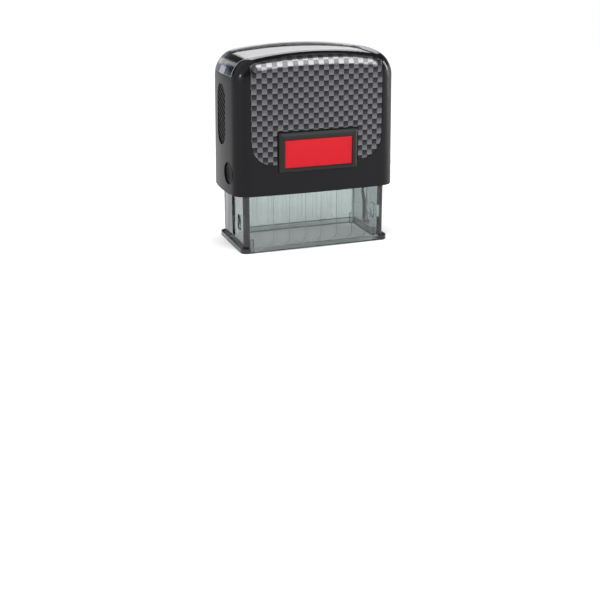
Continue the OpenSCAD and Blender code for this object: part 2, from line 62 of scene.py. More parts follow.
def stood(made, over, rise, back, place):
    """Stands a camera or a lamp at a place, by the ways to its right, to its top and behind it."""
    pose = np.vstack([np.column_stack([over, rise, back, place]), [0, 0, 0, 1]])
    made.matrix_world = Matrix(pose.tolist())


turn, dip = np.radians([19.961, 19.97])
shift, drop, distance = 1.147, 24.579, 424.18
aside = np.array([np.cos(turn), -np.sin(turn), 0])
ahead = np.array([np.sin(turn) * np.cos(dip), np.cos(turn) * np.cos(dip), -np.sin(dip)])
upward = np.cross(aside, ahead)
camera = put("viewpoint", bpy.data.cameras.new("viewpoint"))
camera.data.sensor_width = 36
camera.data.lens = 66
camera.data.clip_start = 0.01
stood(camera, aside, upward, -ahead, -(shift * aside + drop * upward + distance * ahead) / 1000)
bpy.context.scene.camera = camera


# Base: one clear smoke-tinted moulding that stands on the paper, with a flange for a foot.
# Injection-moulded styrene, polished, its edges broken by a quarter of a millimetre in the tool.
# Shallow flutes run up its long walls; its corner posts and the ends of its flange are thick.
def linear(code):
    """An sRGB hex colour as linear red, green, blue and alpha."""
    channels = np.array([int(code[i:i + 2], 16) for i in (1, 3, 5)]) / 255
    curve = np.where(channels <= 0.04045, channels / 12.92, ((channels + 0.055) / 1.055) ** 2.4)
    return (*curve.tolist(), 1.0)


def add(tree, kind, inputs=None, feeds=None, **settings):
    """Adds a shader node, sets its properties, sets or links its inputs, and links its first output in use
    to the socket that it feeds."""
    made = tree.nodes.new("ShaderNode" + kind)
    for key, value in settings.items():
        setattr(made, key, value)
    for socket, value in (inputs or {}).items():
        if isinstance(value, bpy.types.NodeSocket):
            tree.links.new(value, made.inputs[socket])
        else:
            made.inputs[socket].default_value = value
    if feeds is not None:
        tree.links.new(next(output for output in made.outputs if output.enabled), feeds)
    return made


def finish(name, **sockets):
    """A new material with one Principled shader whose sockets hold these values.
    Gives the material, its tree and the shader."""
    made = bpy.data.materials.new(name)
    made.use_nodes = True
    shader = made.node_tree.nodes["Principled BSDF"]
    for socket, value in sockets.items():
        shader.inputs[socket.replace("_", " ")].default_value = value
    return made, made.node_tree, shader


def broken_edges(piece, width, segments=2, angle=40):
    """Rounds a piece's sharp edges by a width in millimetres."""
    bevel = piece.modifiers.new("broken_edges", "BEVEL")
    bevel.width = width / 1000
    bevel.segments = segments
    bevel.limit_method = "ANGLE"
    bevel.angle_limit = np.radians(angle)
    bevel.harden_normals = True


def merged_copy(node, name):
    """A CAD node's mesh as a new piece, its loose triangles merged into whole flat faces."""
    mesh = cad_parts[node].data.copy()
    mesh.materials.clear()
    shape = bmesh.new()
    shape.from_mesh(mesh)
    bmesh.ops.remove_doubles(shape, verts=shape.verts, dist=2e-6)
    bmesh.ops.dissolve_limit(shape, angle_limit=np.radians(0.5), verts=shape.verts, edges=shape.edges)
    shape.to_mesh(mesh)
    shape.free()
    made = put(name, mesh)
    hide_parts(node)
    return made


def fitted(made, material, body, node=None, angle=35):
    """Gives a piece smooth shading, broken where faces meet at more than an angle in degrees, its material,
    and the body that it moves with, and hides the CAD node that it stands for."""
    made.data.shade_smooth()
    made.data.set_sharp_from_angle(angle=np.radians(angle))
    made.data.materials.append(material)
    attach(made, body)
    if node:
        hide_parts(node)
    return made


# Clear styrene tinted smoke grey: thin walls look pale, and walls seen edge-on go dark, because the tint
# is in the depth of the material. The posts and the ends of the lip also have painted shade: their colour
# is darkened by position to stand in for how dark they look edge-on.
smoke, tree, shader = finish("smoke_styrene", Roughness=0.04, IOR=1.55, Transmission_Weight=1.0)
place = add(tree, "SeparateXYZ", {"Vector": add(tree, "TexCoord").outputs["Object"]})
off_x, off_y = (
    add(tree, "Math", {0: place.outputs[axis]}, operation="ABSOLUTE").outputs[0] for axis in "XY"
)
near_end, near_face, on_lip = (
    add(tree, "MapRange", {"Value": off, "From Min": start, "From Max": stop, "To Max": most}).outputs[0]
    for off, start, stop, most in (
        (off_x, 0.0253, 0.0259, 1.0), (off_y, 0.0117, 0.0123, 1.0), (off_x, 0.0275, 0.0279, 0.8)
    )
)
in_post = add(tree, "Math", {0: near_end, 1: near_face}, operation="MULTIPLY").outputs[0]
painted_post_shade = add(tree, "Math", {0: in_post, 1: on_lip}, operation="MAXIMUM").outputs[0]
# Painted shade: the posts and the lip's ends get a dark blue-grey colour in place of the pale tint.
add(tree, "Mix", {"Factor": painted_post_shade, "A": linear("#f4f8f6"), "B": linear("#0c151d")},
    shader.inputs["Base Color"], data_type="RGBA")
add(tree, "VolumeAbsorption", {"Color": linear("#8c9fa0"), "Density": 440.0},
    tree.nodes["Material Output"].inputs["Volume"])

# The flutes are drawn shallower than they are cut, so that they show as the soft lines of a polished wall.
cut_floor, drawn_floor = 0.0129, 0.01318
base = merged_copy("base_frame", "clear_base")
corners = np.empty(3 * len(base.data.vertices), np.float32)
base.data.vertices.foreach_get("co", corners)
depths = corners[1::3]
in_flute = np.abs(np.abs(depths) - cut_floor) < 2e-5
corners[1::3] = np.where(in_flute, np.sign(depths) * drawn_floor, depths)
base.data.vertices.foreach_set("co", corners)
base.data.update()
broken_edges(base, 0.24, 3)
fitted(base, smoke, "base", angle=30)


# Ink tray: a black moulded drawer that rests on ledges in the base and slides out at the back.
# Polypropylene with a fine spark-eroded texture, which takes the shine off it.
def bare_black(name, tones, roughness, grain_mm, depth_mm, gloss=0.15):
    """A black moulded plastic: two tones in soft clouds, a roughness that follows them, and an eroded grain
    of a given size and depth, drawn coarse enough to show."""
    cloud_mm, spread = 9, 0.05
    made, tree, shader = finish(name, Specular_IOR_Level=gloss)
    place = add(tree, "TexCoord").outputs["Object"]
    cloud = add(tree, "TexNoise", {"Vector": place, "Scale": 1000 / cloud_mm, "Detail": 3.0}).outputs[0]
    add(tree, "Mix", {"Factor": cloud, "A": linear(tones[0]), "B": linear(tones[1])},
        shader.inputs["Base Color"], data_type="RGBA")
    add(tree, "MapRange", {"Value": cloud, "To Min": roughness - spread, "To Max": roughness + spread},
        shader.inputs["Roughness"])
    grain = add(tree, "TexNoise", {"Vector": place, "Scale": 1000 / grain_mm, "Detail": 2.0}).outputs[0]
    add(tree, "Bump", {"Height": grain, "Strength": 0.4, "Distance": depth_mm / 1000},
        shader.inputs["Normal"])
    return made


tray_black = bare_black("eroded_polypropylene", ("#1a1a1b", "#202022"), 0.5, 0.5, 0.03)
tray = merged_copy("ink_pad_tray", "ink_drawer")
broken_edges(tray, 0.2)
tray.data.materials.append(tray_black)
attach(tray, "base")


# Ink pad: a block of felt soaked in black ink, pressed into the tray with its face downwards.
# Cut from sheet, so its edges are soft and its face is a little crowned.
def loop(half_x, half_y, radius, steps=8):
    """Points round a rectangle with round corners: four quarter circles about the corners' centres."""
    angle = np.radians(np.linspace(0, 90, steps)[None, :] + 90 * np.arange(4)[:, None])
    centre_x = (half_x - radius) * np.array([1, -1, -1, 1])[:, None]
    centre_y = (half_y - radius) * np.array([1, 1, -1, -1])[:, None]
    points = [centre_x + radius * np.cos(angle), centre_y + radius * np.sin(angle)]
    return np.stack(points, -1).reshape(-1, 2)


def loft(rings, steps=8):
    """Loops stacked on one another, one row of the grid each. A ring is half x, half y, corner radius and
    height, and it may have a shift in y."""
    rows = []
    for half_x, half_y, radius, height, *shift in rings:
        outline = loop(half_x, half_y, radius, steps) + [0, sum(shift)]
        rows.append(np.column_stack([outline, np.full(len(outline), height)]))
    grid = np.array(rows)
    return np.concatenate([grid, grid[:, :1]], 1)


def skinned(name, grids, closed=True, uvs=None):
    """An object from grids of points in millimetres: four-sided faces between neighbouring points, with the
    seams merged. A closed form has its faces turned outwards; an open sheet keeps the side its grid faces."""
    points = np.concatenate([g.reshape(-1, 3) for g in grids]) / 1000
    counts = [g.shape[0] * g.shape[1] for g in grids]
    starts = np.cumsum([0] + counts)
    numbers = [s + np.arange(c).reshape(g.shape[:2]) for g, s, c in zip(grids, starts, counts)]
    quads = np.concatenate([
        np.stack([n[:-1, :-1], n[1:, :-1], n[1:, 1:], n[:-1, 1:]], -1).reshape(-1, 4) for n in numbers
    ])
    mesh = bpy.data.meshes.new(name)
    mesh.vertices.add(len(points))
    mesh.vertices.foreach_set("co", points.ravel())
    mesh.loops.add(quads.size)
    mesh.loops.foreach_set("vertex_index", quads.ravel())
    mesh.polygons.add(len(quads))
    mesh.polygons.foreach_set("loop_start", 4 * np.arange(len(quads)))
    mesh.update(calc_edges=True)
    if uvs is not None:
        flat = np.concatenate([u.reshape(-1, 2) for u in uvs])
        mesh.uv_layers.new(name="UVMap").data.foreach_set("uv", flat[quads.ravel()].ravel())
    shape = bmesh.new()
    shape.from_mesh(mesh)
    bmesh.ops.remove_doubles(shape, verts=shape.verts, dist=2e-6)
    bmesh.ops.dissolve_degenerate(shape, edges=shape.edges, dist=1e-7)
    if closed:
        bmesh.ops.recalc_face_normals(shape, faces=shape.faces)
    shape.to_mesh(mesh)
    shape.free()
    return put(name, mesh)


# Wool felt, wet with ink: nearly black, dull, and hairy at its surface.
# Real hairs are far finer; they are drawn 0.6 mm apart so that they show.
hair_mm = 0.6
felt, tree, shader = finish("inked_felt", Roughness=0.85, Sheen_Weight=0.25, Sheen_Roughness=0.5)
place = add(tree, "TexCoord").outputs["Object"]
hairs = add(tree, "TexNoise", {
    "Vector": place, "Scale": 1000 / hair_mm, "Detail": 6.0, "Distortion": 1.2
}).outputs[0]
add(tree, "Mix", {"Factor": hairs, "A": linear("#101018"), "B": linear("#262632")},
    shader.inputs["Base Color"], data_type="RGBA")
add(tree, "Bump", {"Height": hairs, "Strength": 0.7, "Distance": 0.0002}, shader.inputs["Normal"])

low, high = (1000 * np.array(corner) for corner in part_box("ink_pad"))
pad_x, pad_y = (high[:2] - low[:2]) / 2
pad_r, soft_in, soft_up, crowned = 0.8, 0.5, 0.7, 0.15
pad_rings = [(pad_x - pad_y, 0, 0, high[2])]
pad_rings += [(pad_x, pad_y, pad_r, height) for height in (high[2], low[2] + soft_up)]
for a in np.radians([25, 50, 75, 90]):
    inset, height = soft_in * (1 - np.cos(a)), low[2] + soft_up - (soft_up - crowned) * np.sin(a)
    pad_rings.append((pad_x - inset, pad_y - inset, 0.6, height))
for f in (0.15, 0.4, 0.7, 1.0):
    face_x, face_y = pad_x - soft_in - pad_y * f, (pad_y - soft_in) * (1 - f)
    pad_rings.append((face_x, face_y, soft_in * (1 - f), low[2] + crowned * (1 - f ** 0.5)))
pad = fitted(skinned("felt_pad", [loft(pad_rings)]), felt, "base", "ink_pad")


# Return spring: eight coils of drawn steel wire, standing on the deck and reaching up into the yoke's cup.
# The wire's ends are cut square. It closes up as the cap goes down, but it is drawn here at its full height.
# Bright drawn wire, with faint streaks along it that are drawn far coarser than real ones.
spring_r, wire_r, coils = 5.6, 0.5, 8
deck, spring_top, stroke = 37.476, 65.876, 19.5
steps_a_coil, steps_round = 40, 13
drawn_wire, tree, shader = finish("drawn_spring_steel", Metallic=1.0, Roughness=0.3)
along = add(tree, "UVMap", uv_map="UVMap").outputs[0]
lines = add(tree, "Mapping", {"Vector": along, "Scale": (6.0, 0.4, 1.0)}).outputs[0]
streaks = add(tree, "TexNoise", {"Vector": lines, "Scale": 5.0, "Detail": 3.0}).outputs[0]
add(tree, "Mix", {"Factor": streaks, "A": linear("#a9abb0"), "B": linear("#d6d8db")},
    shader.inputs["Base Color"], data_type="RGBA")

way = np.linspace(0, 1, steps_a_coil * coils + 1)[:, None]
round_wire = np.radians(np.linspace(0, 360, steps_round))[None, :]
climb = 2 * np.pi * coils * way
from_axis = spring_r + wire_r * np.cos(round_wire)
coil_grid = np.stack([
    from_axis * np.cos(climb),
    from_axis * np.sin(climb),
    deck + wire_r + (spring_top - deck - 2 * wire_r) * way + wire_r * np.sin(round_wire)
], -1)
end_middle = coil_grid[[0, -1], :-1].mean(1, keepdims=True)
ends = [np.stack([np.broadcast_to(end_middle[k], coil_grid[k].shape), coil_grid[k]]) for k in (0, -1)]
coil_uv = np.stack(np.broadcast_arrays(round_wire / (2 * np.pi), 2 * np.pi * spring_r * coils * way), -1)
end_uv = [np.zeros((2, steps_round, 2))] * 2
spring = skinned("return_spring", [coil_grid, *ends], uvs=[coil_uv, *end_uv])
fitted(spring, drawn_wire, "base", "main_spring")
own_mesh(spring)


# Yoke and die carrier: the two moulded acetal pieces that hang in the cap and turn the die over.
# The yoke's arms reach down each end; the carrier's cheeks bear the cam pins.
# Acetal is slippery and a little waxy, so it is black with a soft shine.
acetal = bare_black("moulded_acetal", ("#232325", "#2b2b2d"), 0.4, 0.7, 0.02)
for node, name, body in (("yoke", "press_yoke", "cap"), ("die_carrier", "turning_carrier", "die")):
    moulding = merged_copy(node, name)
    broken_edges(moulding, 0.15)
    fitted(moulding, acetal, body, angle=30)


# Axle pins: ground steel pins pressed into the carrier's ends, free to turn in the yoke's arms.
# Each end has a small chamfer that leads it into its hole.
# Grinding leaves bright steel with fine lines round the pin, drawn a sixth of a millimetre wide.
chamfer = 0.2
ground_steel, tree, shader = finish("ground_steel", Metallic=1.0, Roughness=0.25)
place = add(tree, "TexCoord").outputs["Object"]
rounds = add(tree, "Mapping", {"Vector": place, "Scale": (6000.0, 300.0, 300.0)}).outputs[0]
ground = add(tree, "TexNoise", {"Vector": rounds, "Scale": 1.0, "Detail": 2.0}).outputs[0]
add(tree, "Mix", {"Factor": ground, "A": linear("#b4b5b8"), "B": linear("#dcdde0")},
    shader.inputs["Base Color"], data_type="RGBA")
for node, name in (("axle_pin_left", "left_axle_pin"), ("axle_pin_right", "right_axle_pin")):
    low, high = (1000 * np.array(corner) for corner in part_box(node))
    radius, middle_z = (high[2] - low[2]) / 2, (high[2] + low[2]) / 2
    upright = loft([(r, r, r, h) for r, h in (
        (0.0, low[0]), (radius - chamfer, low[0]), (radius, low[0] + chamfer),
        (radius, high[0] - chamfer), (radius - chamfer, high[0]), (0.0, high[0])
    )])
    pin = np.stack([upright[..., 2], upright[..., 0], middle_z + upright[..., 1]], -1)
    fitted(skinned(name, [pin]), ground_steel, "die", node)


# Die: a blank sheet of stamp rubber with a plain printing border, on a closed-cell foam cushion.
# Both are cut from sheet and stuck to the carrier's plate.
# The foam is grey, dull and pitted by its cells.
cell_mm, powder_mm = 0.35, 1.5
foam, tree, shader = finish("closed_cell_foam", Roughness=0.9)
place = add(tree, "TexCoord").outputs["Object"]
cells = add(tree, "TexVoronoi", {"Vector": place, "Scale": 1000 / cell_mm}).outputs["Distance"]
add(tree, "Mix", {"Factor": cells, "A": linear("#4c4e56"), "B": linear("#6b6e78")},
    shader.inputs["Base Color"], data_type="RGBA")
add(tree, "Bump", {"Height": cells, "Strength": 0.6, "Distance": 0.0001}, shader.inputs["Normal"])

# The rubber is brick red and faintly powdery.
stamp_rubber, tree, shader = finish("stamp_rubber", Roughness=0.6)
place = add(tree, "TexCoord").outputs["Object"]
powder = add(tree, "TexNoise", {"Vector": place, "Scale": 1000 / powder_mm, "Detail": 5.0}).outputs[0]
add(tree, "Mix", {"Factor": powder, "A": linear("#7c2a26"), "B": linear("#9a3b35")},
    shader.inputs["Base Color"], data_type="RGBA")
add(tree, "Bump", {"Height": powder, "Strength": 0.3, "Distance": 0.00008}, shader.inputs["Normal"])

low, high = (1000 * np.array(corner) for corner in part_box("die_cushion"))
half_l, half_d = (high[:2] - low[:2]) / 2
cushion_rings = [(half_l, half_d, 0.4, height) for height in (low[2], high[2])]
cushion_grid = loft([
    (half_l - half_d, 0, 0, low[2]), *cushion_rings, (half_l - half_d, 0, 0, high[2])
])
cushion = fitted(skinned("foam_cushion", [cushion_grid]), foam, "die", "die_cushion")
low, high = (1000 * np.array(corner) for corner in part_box("rubber_die"))
well, edge = high[2] - 0.6, high[2] - 0.1
die_rings = [(half_l - inset, half_d - inset, radius, height) for inset, radius, height in (
    (0.0, 0.4, low[2]), (0.0, 0.4, edge), (0.1, 0.3, high[2]),
    (0.9, 0.3, high[2]), (1.0, 0.25, edge), (1.15, 0.2, well)
)]
die_grid = loft([(half_l - half_d, 0, 0, low[2]), *die_rings, (half_l - half_d, 0, 0, well)])
fitted(skinned("blank_die", [die_grid]), stamp_rubber, "die", "rubber_die")


# Cap: the black shell that the hand presses, arched over the top, with soft shoulders and round corners.
# Moulded ABS, satin below and polished round the crown; the trim pieces lie flush in shallow recesses.
rim_z, crown_z = 21.5, 72.476
cap_r, arch_r, shoulder_r = 6.0, 190.0, 9.5
side_x, end_y, lean_x, lean_y = 31.3, 15.5, 0.6, 0.3
bow, side_bow, roof_bow = 0.8, 0.7, 0.3
corner_x, corner_y = side_x - cap_r, end_y - cap_r
shoulder_x = side_x - lean_x - shoulder_r
shoulder_z = crown_z - arch_r + np.sqrt((arch_r - shoulder_r) ** 2 - shoulder_x ** 2)
arch_half = np.arcsin(shoulder_x / (arch_r - shoulder_r))
core_r, core_arch_r, arch_z = shoulder_r - cap_r, arch_r - cap_r, crown_z - arch_r
about_face = np.array([-1, -1, 1])


def arch_line(side_steps, shoulder_steps, arch_steps):
    """The line that the cap's edge rounding follows, from the left rim over the crown to the right rim: x, z,
    and the way outwards. Straight leaning sides, an arc about each shoulder's centre, one wide arc on top."""
    up = np.linspace(0, 1, side_steps + 1)[:-1]
    side_z = rim_z + (shoulder_z - rim_z) * up
    side = np.column_stack([-(corner_x - lean_x * up), side_z, -np.ones_like(up), np.zeros_like(up)])
    a = np.linspace(-np.pi / 2, -arch_half, shoulder_steps + 1)[:-1]
    sine, cosine = np.sin(a), np.cos(a)
    turn_in = np.column_stack([-shoulder_x + core_r * sine, shoulder_z + core_r * cosine, sine, cosine])
    a = np.linspace(-arch_half, 0, arch_steps + 1)
    sine, cosine = np.sin(a), np.cos(a)
    over = np.column_stack([core_arch_r * sine, arch_z + core_arch_r * cosine, sine, cosine])
    left = np.concatenate([side, turn_in, over])
    return np.concatenate([left, left[-2::-1] * [-1, 1, -1, 1]])


def leaning(z):
    """How far up the leaning walls a height is: 0 at the rim and 1 at the shoulders."""
    return np.clip((z - rim_z) / (shoulder_z - rim_z), 0, 1)


def core_depth(x, z):
    """Half depth of the cap before its edges are rounded: it bows out towards the middle and leans in
    towards the top."""
    return corner_y - lean_y * leaning(z) + bow * (1 - (x / corner_x) ** 2)


def face_way(x):
    """The way outwards of the front face: straight to the front, turned a little by the bow."""
    slope = 2 * bow * x / corner_x ** 2
    ways = np.stack([slope, -np.ones_like(x), np.zeros_like(x)], -1)
    return ways / np.sqrt(1 + slope ** 2)[..., None]


def cap_skin():
    """Grids of the cap's whole outside: the edge rounding along the arch line, the roof and sides between
    the two roundings, and the bowed faces."""
    line = arch_line(12, 14, 32)
    x, z, out_x, out_z = (line[:, k][:, None] for k in range(4))
    front = face_way(line[:, 0])[:, None, :]
    depth = core_depth(x, z)
    bulge = side_bow * out_x ** 2 + roof_bow * out_z ** 2
    tip = np.concatenate([out_x, -2 * bulge / depth, out_z], 1)
    tip = (tip / np.linalg.norm(tip, axis=1, keepdims=True))[:, None, :]
    swing = np.radians(np.linspace(0, 90, 13))[:, None]
    way = np.cos(swing) * front + np.sin(swing) * tip
    way = way / np.linalg.norm(way, axis=-1, keepdims=True)
    edge = np.concatenate([x, -depth, z], 1)[:, None, :] + cap_r * way
    span = np.linspace(-1, 1, 17)[None, :]
    slope = 2 * bulge * span / depth
    reach = cap_r / np.sqrt(1 + slope ** 2)
    rise = 1 - span ** 2
    roof = np.stack([
        x + (side_bow * rise + reach) * out_x,
        depth * span + reach * slope,
        z + (roof_bow * rise + reach) * out_z
    ], -1)
    half = len(line) // 2 + 1
    share = np.linspace(-1, 1, 41)[None, :]
    face_x = -x[:half] * share
    face_z = np.broadcast_to(z[:half], face_x.shape)
    face = np.stack([face_x, -core_depth(face_x, face_z), face_z], -1) + cap_r * face_way(face_x)
    return [edge, roof, edge * about_face, face, face * about_face]


def prism(outline, low, high, axis):
    """A closed straight bar: an outline carried from low to high along an axis, and closed to a middle point
    at both ends."""
    ring = np.concatenate([outline, outline[:1]])
    middle = np.broadcast_to(outline.mean(0), ring.shape)
    ends = ((middle, low), (ring, low), (ring, high), (middle, high))
    rows = [np.column_stack([points, np.full(len(points), height)]) for points, height in ends]
    return np.array(rows)[..., {"x": [2, 0, 1], "y": [0, 2, 1], "z": [0, 1, 2]}[axis]]


# Black ABS: satin where the tool was spark-eroded, glossy above the line where the tool was polished.
# The eroded grain is about 0.1 mm; it is drawn at 0.5 mm so that it shows.
cloud_mm, grain_mm = 11, 0.5
cap_black, tree, shader = finish("moulded_abs", Specular_IOR_Level=0.15)
place = add(tree, "TexCoord").outputs["Object"]
height = add(tree, "SeparateXYZ", {"Vector": place}).outputs["Z"]
polished = {"Value": height, "From Min": 0.0640, "From Max": 0.0646}
cloud = add(tree, "TexNoise", {"Vector": place, "Scale": 1000 / cloud_mm, "Detail": 3.0}).outputs[0]
add(tree, "Mix", {"Factor": cloud, "A": linear("#101013"), "B": linear("#151519")},
    shader.inputs["Base Color"], data_type="RGBA")
add(tree, "MapRange", {**polished, "To Min": 0.36, "To Max": 0.16}, shader.inputs["Roughness"])
grain = add(tree, "TexNoise", {"Vector": place, "Scale": 1000 / grain_mm, "Detail": 2.0}).outputs[0]
eroded = add(tree, "MapRange", {**polished, "To Min": 0.3, "To Max": 0.0}).outputs[0]
add(tree, "Bump", {"Height": grain, "Strength": eroded, "Distance": 0.00002}, shader.inputs["Normal"])

edge, roof, back_edge, face, back_face = cap_skin()
mid = roof.shape[1] // 2
front_rim = np.concatenate([roof[0, mid::-1], edge[0, ::-1], face[0], edge[-1], roof[-1, :mid + 1]])
rim = np.stack([front_rim, front_rim * [1, -1, 1]])
cap = skinned("cap", [edge, roof, back_edge, face, back_face, rim])


def thickened(made, amount):
    """Gives an open sheet a thickness in millimetres: outwards if positive, inwards if negative."""
    wall = made.modifiers.new("thickness", "SOLIDIFY")
    wall.thickness = abs(amount) / 1000
    wall.offset = 1 if amount > 0 else -1
    wall.use_even_offset = True
    return made


def carve(made, cutters):
    """Takes the cutters' forms out of a piece, one after another, and removes them."""
    for cutter in cutters:
        cut = made.modifiers.new("recess", "BOOLEAN")
        cut.object = cutter
        cut.solver = "EXACT"
    cut_down = made.evaluated_get(bpy.context.evaluated_depsgraph_get())
    done = bpy.data.meshes.new_from_object(cut_down)
    made.modifiers.clear()
    made.data = done
    for cutter in cutters:
        bpy.data.objects.remove(cutter)


def top_of(x, out):
    """Height of the line that lies outside the arch line by a distance, at a given x: the wide arc, or a
    shoulder's arc beyond it."""
    arch = arch_z + np.sqrt((core_arch_r + out) ** 2 - x ** 2)
    past = np.abs(x) - shoulder_x
    shoulder = shoulder_z + np.sqrt(np.maximum((core_r + out) ** 2 - past ** 2, 0))
    return np.where(np.abs(x) <= (core_arch_r + out) * np.sin(arch_half), arch, shoulder)


panel_half, panel_foot, panel_corner, panel_edge, panel_t = 25.0, 32.6, 8.0, 13.7, 0.6
label_half, label_foot, label_head, label_gap, trim_gap = 15.1, 29.7, 44.0, 0.5, 0.12


def panel_sheet(grow, inset, notched):
    """The front panel's face, moved in by an inset: columns of constant x, from the rounded foot up the face
    and over the top edge. Gives the points and their distances across and up the face, in millimetres."""
    radius = cap_r - inset
    half, foot, notch = panel_half + grow, panel_foot - grow, label_half + label_gap
    bend = half - panel_corner + panel_corner * np.sin(np.radians(np.linspace(0, 90, 15)))
    outer, inner = -bend[::-1], np.linspace(-bend[0], -notch, 4)[1:-1]
    x = np.concatenate([outer, inner, np.linspace(-notch, notch, 33), -inner[::-1], -outer[::-1]])
    beside = len(outer) + len(inner) + 1
    split = label_head + label_gap
    past = np.maximum(np.abs(x) - (half - panel_corner), 0)
    bottom = foot + panel_corner - np.sqrt(np.maximum(panel_corner ** 2 - past ** 2, 0))

    def stand(z):
        """Half depth of the face at a height: the bowed core and its rounding, less past the corner."""
        beyond = np.maximum(np.abs(x) - (corner_x - lean_x * leaning(z)), 0)
        return core_depth(x, z) + np.sqrt(radius ** 2 - beyond ** 2)

    start = np.maximum(np.abs(x) - corner_x + lean_x, 0)
    knee = np.where(start > 0, shoulder_z, top_of(x, 0))
    wall_z = split + (knee - split) * np.linspace(0, 1, 19)[:, None]
    wall = np.stack(np.broadcast_arrays(x, -stand(wall_z), wall_z), -1)
    depth = core_depth(x, np.full_like(x, crown_z))
    first = np.arcsin(start / radius)
    last = np.arccos((panel_edge - grow - depth) / radius)
    swing = first + (last - first) * np.linspace(0, 1, 15)[1:, None]
    over_y, over_z = -depth - radius * np.cos(swing), top_of(x, radius * np.sin(swing))
    over = np.stack(np.broadcast_arrays(x, over_y, over_z), -1)
    upper = np.concatenate([wall, over]).swapaxes(0, 1)
    upper_up = np.concatenate([wall_z, knee + radius * (swing - first)]).swapaxes(0, 1)
    low_z = bottom + (split - bottom) * np.linspace(0, 1, 9)[:, None]
    lower = np.stack(np.broadcast_arrays(x, -stand(low_z), low_z), -1).swapaxes(0, 1)
    parts = [(upper, upper_up)]
    cuts = (slice(beside), slice(-beside, None)) if notched else (slice(None),)
    parts += [(lower[cut], low_z.T[cut]) for cut in cuts]
    points = [p for p, up in parts]
    return points, [np.stack(np.broadcast_arrays(p[..., 0], up), -1) for p, up in parts]


window_half, tab_half, window_t, flare = 12.2, 9.8, 1.2, [24.05, 27.55]


def crown_sheet(half_y, end, inset, tab=None):
    """A strip over the crown, moved in by an inset: it follows the arch line down to an angle on both
    shoulders. With a tab, it narrows to that half width over the shoulders."""
    radius = cap_r - inset
    shoulder = np.linspace(arch_half, end, 25)[1:]
    a = np.concatenate([-shoulder[::-1], np.linspace(-arch_half, arch_half, 41), shoulder])[:, None]
    sine, cosine = np.sin(a), np.cos(a)
    on_arch = np.abs(a) <= arch_half + 1e-9
    x = np.where(on_arch, core_arch_r * sine, np.sign(a) * shoulder_x + core_r * sine)
    z = np.where(on_arch, arch_z + core_arch_r * cosine, shoulder_z + core_r * cosine)
    width = half_y if tab is None else np.interp(np.abs(x + cap_r * sine), flare, [half_y, tab])
    y = np.linspace(-1, 1, 25)[None, :] * width
    depth = core_depth(x, z)
    bulge = side_bow * sine ** 2 + roof_bow * cosine ** 2
    spread = depth + 2 * radius * bulge / depth
    share = np.clip(y / spread, -1, 1)
    domed = radius / np.sqrt(1 + (2 * bulge * share / depth) ** 2)
    rounded = np.sqrt(radius ** 2 - np.maximum(np.abs(y) - depth, 0) ** 2)
    reach = np.where(np.abs(y) <= spread, domed, rounded)
    rise = 1 - share ** 2
    out_x, out_z = (side_bow * rise + reach) * sine, (roof_bow * rise + reach) * cosine
    return np.stack(np.broadcast_arrays(x + out_x, y, z + out_z), -1)


window_drop, card_reach, card_half, card_in = 8.8, 3.1, 10.9, 1.6
window_end = np.arccos((crown_z - window_drop - shoulder_z) / shoulder_r)
card_end = np.arcsin(card_reach / (shoulder_r - card_in))
grip_z, grip_x, grip_w, grip_h = 49.3, 30.585, 9.6, 22.0
lock_y, lock_z, lock_r, lock_gap, lock_seat = -7.2, 29.0, 3.9, 0.1, 29.0
label_z, label_h, label_seat = (label_head + label_foot) / 2, (label_head - label_foot) / 2, 15.3
recess_points, _ = panel_sheet(trim_gap, panel_t, False)
seat_end = window_end + trim_gap / shoulder_r
seat = crown_sheet(window_half + trim_gap, seat_end, window_t, tab_half + trim_gap)
pocket = crown_sheet(card_half + 0.2, card_end + 0.03, card_in + 0.3)
cutters = [thickened(skinned(name, grids, closed=False), amount) for name, grids, amount in (
    ("front_recess", recess_points, 2.5), ("rear_recess", [p * about_face for p in recess_points], 2.5),
    ("window_seat", [seat], 3.0), ("card_pocket", [pocket], 3.0)
)]
label_hole = loop(label_half + trim_gap, label_h + trim_gap, 0.3) + [0, label_z]
grip_slot = loop(grip_w / 2, grip_h / 2, grip_w / 2 - 1e-4, 24) + [0, grip_z]
hole_r = lock_r + lock_gap
lock_hole = loop(hole_r, hole_r, hole_r - 1e-4, 16) + [lock_y, lock_z]
for outline, inner, outer, axis in (
    (label_hole, label_seat, 25, "y"), (grip_slot, grip_x, 40, "x"), (lock_hole, lock_seat, 40, "x")
):
    spans = ((-outer, -inner), (inner, outer))
    cutters += [skinned("cut", [prism(outline, *span, axis)]) for span in spans]
hollow_x, hollow_y, hollow_r, roof_z = 29.5, 13.7, 2.0, 61.676
hollow = loop(hollow_x, hollow_y, hollow_r)
cutters.append(skinned("cut", [prism(hollow, rim_z - 5, roof_z, "z")]))
carve(cap, cutters)
broken_edges(cap, 0.12, angle=50)
fitted(cap, cap_black, "cap", "cap_shell")


# Patterned panels: a film printed with a check weave under clear lacquer, let into the front and the back.
# Each dark one fades from black at its top to grey at its foot, so that it seems to dip under the light
# ones, which are silvery; the lacquer shines where the top edge turns.
check_w, check_h, first_column, first_row = 1.915, 1.865, 0.08, 50.57
check_film, tree, shader = finish(
    "lacquered_check_film", Coat_IOR=1.7, Coat_Roughness=0.1, Specular_IOR_Level=0.04
)
across_up = add(tree, "SeparateXYZ", {"Vector": add(tree, "UVMap", uv_map="UVMap").outputs[0]})
across, up = across_up.outputs["X"], across_up.outputs["Y"]
column, row = (
    add(tree, "Math", {0: run, 1: 1 / size, 2: -first / size}, operation="MULTIPLY_ADD").outputs[0]
    for run, size, first in ((across, check_w, first_column), (up, check_h, first_row))
)
column_number, row_number = (
    add(tree, "Math", {0: run}, operation="FLOOR").outputs[0] for run in (column, row)
)
count = add(tree, "Math", {0: column_number, 1: row_number}, operation="ADD").outputs[0]
light_cell = add(tree, "Math", {0: count, 1: 2.0}, operation="FLOORED_MODULO").outputs[0]
up_cell = add(tree, "Math", {0: row}, operation="FRACT").outputs[0]
